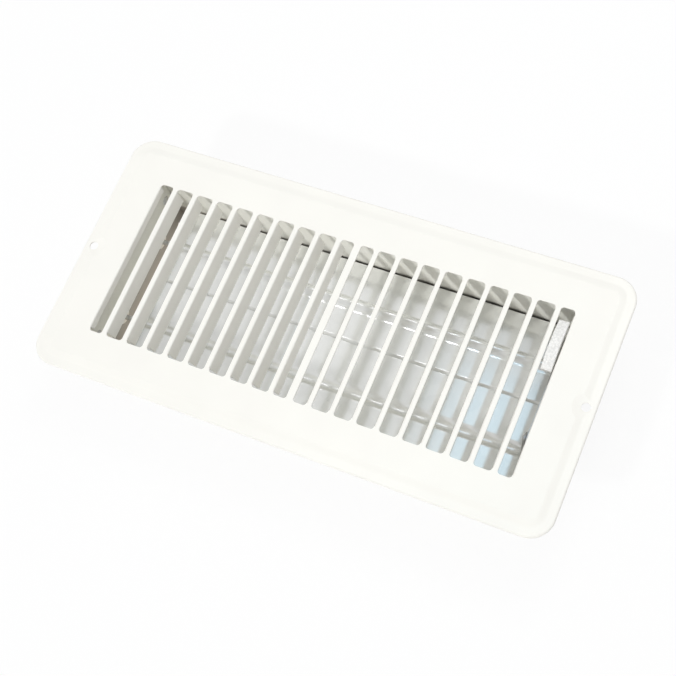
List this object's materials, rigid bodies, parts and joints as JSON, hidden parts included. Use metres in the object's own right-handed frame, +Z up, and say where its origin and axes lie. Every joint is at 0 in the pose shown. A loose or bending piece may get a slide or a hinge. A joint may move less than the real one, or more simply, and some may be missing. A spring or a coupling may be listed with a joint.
{
  "type": "floor register",
  "caption": "Rectangular stamped steel floor register: white louvred face plate over an open damper box with paired pivoting blades, worked by a linked thumb tab at one end.",
  "frame": {"origin": "centre of the plane that the plate's edge sits on, between the two screw holes", "axes": "+X along the plate towards the thumb tab, +Y towards the rear wall, +Z up through the face"},
  "size_m": [0.2954, 0.143, 0.0523],
  "materials": {
    "white_enamel": "satin warm white baked enamel on stamped steel",
    "box_enamel": "thin matt cream enamel on folded steel",
    "galvanised_sheet": "satin galvanised sheet with a fine rolled grain",
    "zinc_plated_steel": "zinc plated, slightly dull",
    "nylon": "natural nylon",
    "white_plastic": "white moulded plastic with a pebbled grip"
  },
  "bodies": {
    "frame": {"face_plate": "white_enamel", "front_wall": "box_enamel", "rear_wall": "box_enamel", "left_end_plate": "box_enamel", "right_end_plate": "box_enamel", "corner_rivets": "zinc_plated_steel", "front_left_bush": "nylon", "front_right_bush": "nylon", "rear_left_bush": "nylon", "rear_right_bush": "nylon"},
    "rear_damper": {"rear_blade": "galvanised_sheet", "rear_pivot_rod": "zinc_plated_steel", "rear_crank": "zinc_plated_steel", "rear_link_rivet": "zinc_plated_steel"},
    "front_damper": {"front_blade": "galvanised_sheet", "front_pivot_rod": "zinc_plated_steel", "front_crank": "zinc_plated_steel", "front_link_rivet": "zinc_plated_steel"},
    "link": {"link_bar": "zinc_plated_steel", "thumb_tab": "white_plastic"}
  },
  "joints": [
    {"name": "rear_blade_swing", "type": "hinge", "parent": "frame", "child": "rear_damper", "pos_m": [0, 0.0247, -0.0282], "axis": [1, 0, 0], "range_deg": [0, 48]},
    {"name": "front_blade_swing", "type": "hinge", "parent": "frame", "child": "front_damper", "pos_m": [0, -0.0247, -0.0282], "axis": [1, 0, 0], "range_deg": [0, 48]},
    {"name": "link_pivot", "type": "hinge", "parent": "rear_damper", "child": "link", "pos_m": [0.1182, 0.02958, -0.01724], "axis": [1, 0, 0], "range_deg": [-48, 0]}
  ],
  "couplings": [
    {"joint": "front_blade_swing", "follows": "rear_blade_swing", "ratio": 1},
    {"joint": "link_pivot", "follows": "rear_blade_swing", "ratio": -1}
  ]
}
